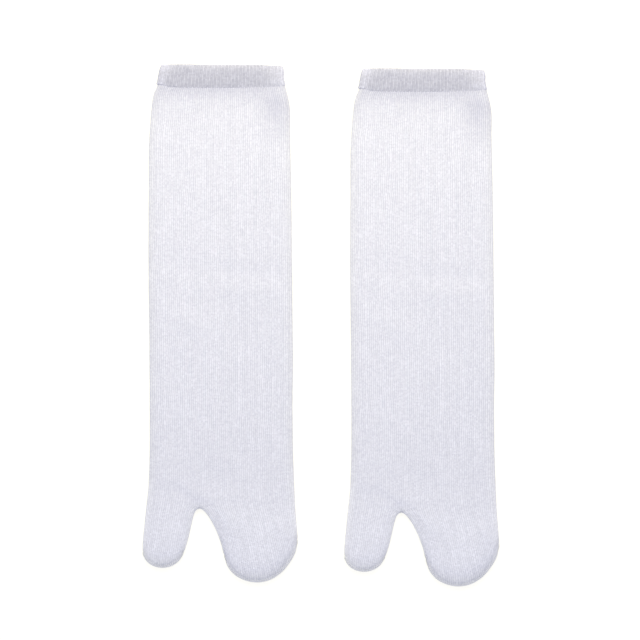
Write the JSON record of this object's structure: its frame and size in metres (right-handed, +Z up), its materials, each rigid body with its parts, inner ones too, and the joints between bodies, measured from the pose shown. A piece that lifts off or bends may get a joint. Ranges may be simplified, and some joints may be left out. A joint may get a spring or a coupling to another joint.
{
  "type": "pair of tabi socks laid flat",
  "caption": "Pair of plain heel-less knitted tube socks with split toes and ribbed cuffs, laid flat side by side.",
  "frame": {"origin": "on the surface the pair lies on, under the middle of the pair's bounding box", "axes": "+Y from the toes towards the cuffs, +X across the pair towards the right sock, +Z up"},
  "size_m": [0.234, 0.342, 0.0069],
  "materials": {
    "knit_body": "matte white cotton jersey knit",
    "rib_cuff": "matte white elastic rib knit"
  },
  "bodies": {
    "root": {"left_sock_body": "knit_body", "left_sock_cuff": "rib_cuff", "right_sock_body": "knit_body", "right_sock_cuff": "rib_cuff"}
  },
  "joints": []
}
